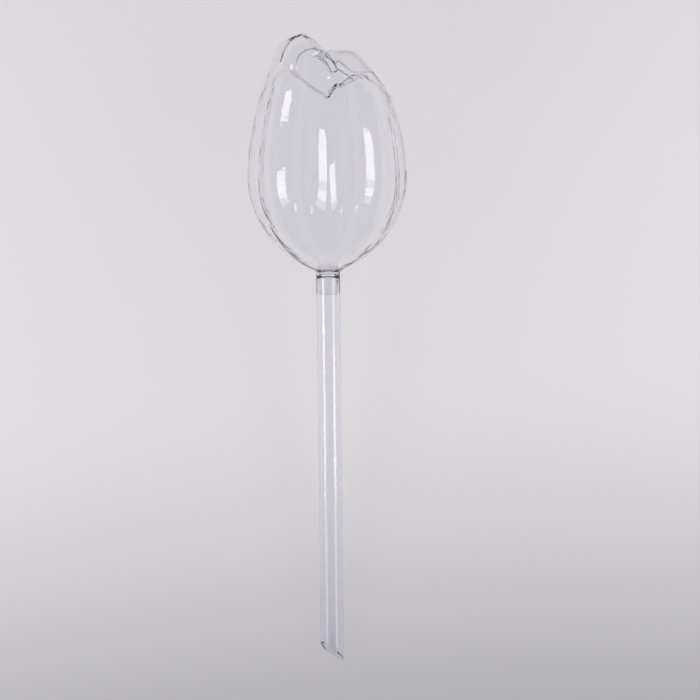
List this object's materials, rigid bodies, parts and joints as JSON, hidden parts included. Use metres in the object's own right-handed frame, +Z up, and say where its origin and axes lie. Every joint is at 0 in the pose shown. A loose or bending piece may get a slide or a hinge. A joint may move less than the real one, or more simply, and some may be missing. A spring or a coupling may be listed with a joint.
{
  "type": "watering globe",
  "caption": "Clear hollow rosebud-shaped watering globe whose neck pushes into a straight tube with a slanted open tip that feeds water into pot soil.",
  "frame": {"origin": "on the stem's axis at its top end, where the bulb's collar seats on it", "axes": "+Z up along the stem's axis towards the bulb, as the globe stands in its pot; -Y is the front, the side seen in the picture, with the notch between the two front petals in its middle; +X to the right in the picture"},
  "size_m": [0.067, 0.0653, 0.2688],
  "materials": {
    "bulb_clear": "clear, glossy blown PVC with a faint blue-violet tint",
    "stem_clear": "clear, glossy extruded PVC tube"
  },
  "bodies": {
    "stem": {"stem": "stem_clear"},
    "bulb": {"bulb": "bulb_clear"}
  },
  "joints": [
    {"name": "bulb_lift", "type": "slide", "parent": "stem", "child": "bulb", "axis": [0, 0, 1], "range_m": [0, 0.012]}
  ]
}
